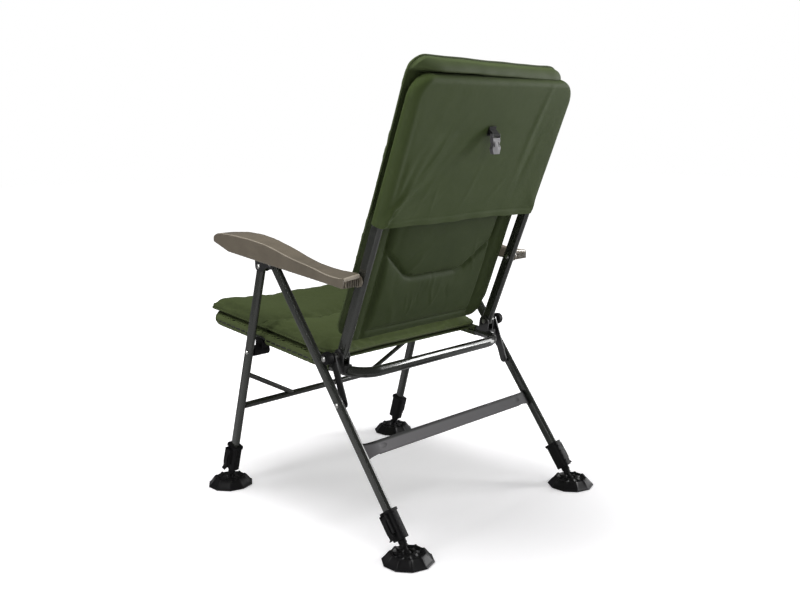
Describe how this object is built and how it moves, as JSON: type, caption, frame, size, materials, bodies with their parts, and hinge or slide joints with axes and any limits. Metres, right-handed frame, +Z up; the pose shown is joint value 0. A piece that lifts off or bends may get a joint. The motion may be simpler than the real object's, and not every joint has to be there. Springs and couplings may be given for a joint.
{
  "type": "folding carp fishing chair",
  "caption": "Folding carp fishing chair: padded seat and high leaning back, moulded armrests over crossed tube legs, cam-clamped telescopic legs and swivelling mud feet.",
  "frame": {"origin": "on the floor, under the middle of the chair's box", "axes": "+Z up, -Y the way the sitter faces, +X the sitter's left"},
  "size_m": [0.6984, 0.8154, 1.0358],
  "materials": {
    "frame": "semi-gloss dark grey-green paint",
    "black_plastic": "satin black moulding",
    "black_steel": "satin black paint",
    "steel": "bright zinc",
    "armrest": "satin taupe moulding",
    "fabric": "woven coated polyester",
    "cushion": "padded woven polyester",
    "webbing": "woven webbing",
    "foot_rubber": "glossy black rubber"
  },
  "bodies": {
    "seat_frame": {"seat_front_bow": "frame", "seat_rear_bow": "frame", "seat_sling": "fabric", "seat_cushion": "cushion", "hinge_bracket_left": "black_steel", "hinge_bracket_right": "black_steel", "recline_bolt_left": "steel", "recline_bolt_right": "steel", "seat_pivot_block_left": "black_plastic", "seat_pivot_block_right": "black_plastic"},
    "backrest": {"back_rail_left": "frame", "back_rail_right": "frame", "back_top_bow": "frame", "back_cushion": "cushion", "back_panel": "fabric", "back_pocket": "fabric", "buckle_strap": "webbing"},
    "front_legs": {"front_cross_bar": "frame", "front_leg_left": "frame", "front_leg_right": "frame", "front_brace_left": "frame", "front_brace_right": "frame", "front_leg_clamp_left": "black_plastic", "front_leg_clamp_right": "black_plastic", "seat_pivot_bolt_left": "steel", "seat_pivot_bolt_right": "steel"},
    "rear_legs": {"rear_cross_bar": "frame", "rear_leg_left": "frame", "rear_leg_right": "frame", "rear_leg_clamp_left": "black_plastic", "rear_leg_clamp_right": "black_plastic", "link_rivet_left": "steel", "link_rivet_right": "steel"},
    "armrests": {"armrest_left": "armrest", "armrest_right": "armrest", "armrest_bracket_left": "black_steel", "armrest_bracket_right": "black_steel", "front_leg_rivet_left": "steel", "front_leg_rivet_right": "steel", "rear_leg_pin_left": "steel", "rear_leg_pin_right": "steel", "armrest_rivet_left": "steel", "armrest_rivet_right": "steel"},
    "links": {"link_left": "black_steel", "link_right": "black_steel"},
    "buckle": {"buckle": "black_plastic"},
    "recline_knob_left": {"recline_knob_left": "black_plastic"},
    "front_inner_leg_left": {"front_inner_leg_left": "black_plastic"},
    "front_foot_left": {"front_foot_left": "foot_rubber"},
    "front_clamp_lever_left": {"front_clamp_lever_left": "black_plastic"},
    "rear_inner_leg_left": {"rear_inner_leg_left": "black_plastic"},
    "rear_foot_left": {"rear_foot_left": "foot_rubber"},
    "rear_clamp_lever_left": {"rear_clamp_lever_left": "black_plastic"},
    "recline_knob_right": {"recline_knob_right": "black_plastic"},
    "front_inner_leg_right": {"front_inner_leg_right": "black_plastic"},
    "front_foot_right": {"front_foot_right": "foot_rubber"},
    "front_clamp_lever_right": {"front_clamp_lever_right": "black_plastic"},
    "rear_inner_leg_right": {"rear_inner_leg_right": "black_plastic"},
    "rear_foot_right": {"rear_foot_right": "foot_rubber"},
    "rear_clamp_lever_right": {"rear_clamp_lever_right": "black_plastic"}
  },
  "joints": [
    {"name": "backrest_fold", "type": "hinge", "parent": "seat_frame", "child": "backrest", "pos_m": [0, 0.11101, 0.398], "axis": [1, 0, 0], "range_deg": [0, 90], "deforming": ["back_cushion", "seat_cushion"]},
    {"name": "front_leg_fold", "type": "hinge", "parent": "seat_frame", "child": "front_legs", "pos_m": [0, -0.18099, 0.366], "axis": [1, 0, 0], "range_deg": [0, 71]},
    {"name": "armrest_fold", "type": "hinge", "parent": "backrest", "child": "armrests", "pos_m": [0, 0.18311, 0.57379], "axis": [1, 0, 0], "range_deg": [-96, 0]},
    {"name": "rear_leg_fold", "type": "hinge", "parent": "armrests", "child": "rear_legs", "pos_m": [0, -0.06999, 0.592], "axis": [1, 0, 0], "range_deg": [0, 34]},
    {"name": "link_fold", "type": "hinge", "parent": "seat_frame", "child": "links", "pos_m": [0, 0.11101, 0.398], "axis": [1, 0, 0], "range_deg": [-86, 0]},
    {"name": "recline_knob_turn_left", "type": "hinge", "parent": "seat_frame", "child": "recline_knob_left", "pos_m": [0.293, 0.11101, 0.398], "axis": [1, 0, 0], "continuous": true},
    {"name": "front_leg_extend_left", "type": "slide", "parent": "front_legs", "child": "front_inner_leg_left", "axis": [0, -0.2869, -0.9579], "range_m": [0, 0.12]},
    {"name": "front_foot_tilt_left", "type": "hinge", "parent": "front_inner_leg_left", "child": "front_foot_left", "pos_m": [0.295, -0.28553, 0.017], "axis": [1, 0, 0], "range_deg": [-20, 20]},
    {"name": "front_clamp_open_left", "type": "hinge", "parent": "front_legs", "child": "front_clamp_lever_left", "pos_m": [0.3125, -0.26114, 0.09843], "axis": [0, -0.9579, 0.2869], "range_deg": [0, 75]},
    {"name": "rear_leg_extend_left", "type": "slide", "parent": "rear_legs", "child": "rear_inner_leg_left", "axis": [0, 0.593, -0.8052], "range_m": [0, 0.12]},
    {"name": "rear_foot_tilt_left", "type": "hinge", "parent": "rear_inner_leg_left", "child": "rear_foot_left", "pos_m": [0.295, 0.35344, 0.017], "axis": [1, 0, 0], "range_deg": [-8, 20]},
    {"name": "rear_clamp_open_left", "type": "hinge", "parent": "rear_legs", "child": "rear_clamp_lever_left", "pos_m": [0.3125, 0.30304, 0.08544], "axis": [0, -0.8052, -0.593], "range_deg": [0, 75]},
    {"name": "recline_knob_turn_right", "type": "hinge", "parent": "seat_frame", "child": "recline_knob_right", "pos_m": [-0.293, 0.11101, 0.398], "axis": [-1, 0, 0], "continuous": true},
    {"name": "front_leg_extend_right", "type": "slide", "parent": "front_legs", "child": "front_inner_leg_right", "axis": [0, -0.2869, -0.9579], "range_m": [0, 0.12]},
    {"name": "front_foot_tilt_right", "type": "hinge", "parent": "front_inner_leg_right", "child": "front_foot_right", "pos_m": [-0.295, -0.28553, 0.017], "axis": [1, 0, 0], "range_deg": [-20, 20]},
    {"name": "front_clamp_open_right", "type": "hinge", "parent": "front_legs", "child": "front_clamp_lever_right", "pos_m": [-0.3125, -0.26114, 0.09843], "axis": [0, 0.9579, -0.2869], "range_deg": [0, 75]},
    {"name": "rear_leg_extend_right", "type": "slide", "parent": "rear_legs", "child": "rear_inner_leg_right", "axis": [0, 0.593, -0.8052], "range_m": [0, 0.12]},
    {"name": "rear_foot_tilt_right", "type": "hinge", "parent": "rear_inner_leg_right", "child": "rear_foot_right", "pos_m": [-0.295, 0.35344, 0.017], "axis": [1, 0, 0], "range_deg": [-8, 20]},
    {"name": "rear_clamp_open_right", "type": "hinge", "parent": "rear_legs", "child": "rear_clamp_lever_right", "pos_m": [-0.3125, 0.30304, 0.08544], "axis": [0, 0.8052, 0.593], "range_deg": [0, 75]},
    {"name": "buckle_swing", "type": "hinge", "parent": "backrest", "child": "buckle", "pos_m": [0, 0.3413, 0.87726], "axis": [1, 0, 0], "range_deg": [-12, 60]}
  ],
  "couplings": [
    {"joint": "front_leg_fold", "follows": "backrest_fold", "ratio": 0.7762},
    {"joint": "armrest_fold", "follows": "backrest_fold", "ratio": -1.0479},
    {"joint": "rear_leg_fold", "follows": "backrest_fold", "ratio": 0.3656},
    {"joint": "link_fold", "follows": "backrest_fold", "ratio": -0.9368}
  ]
}
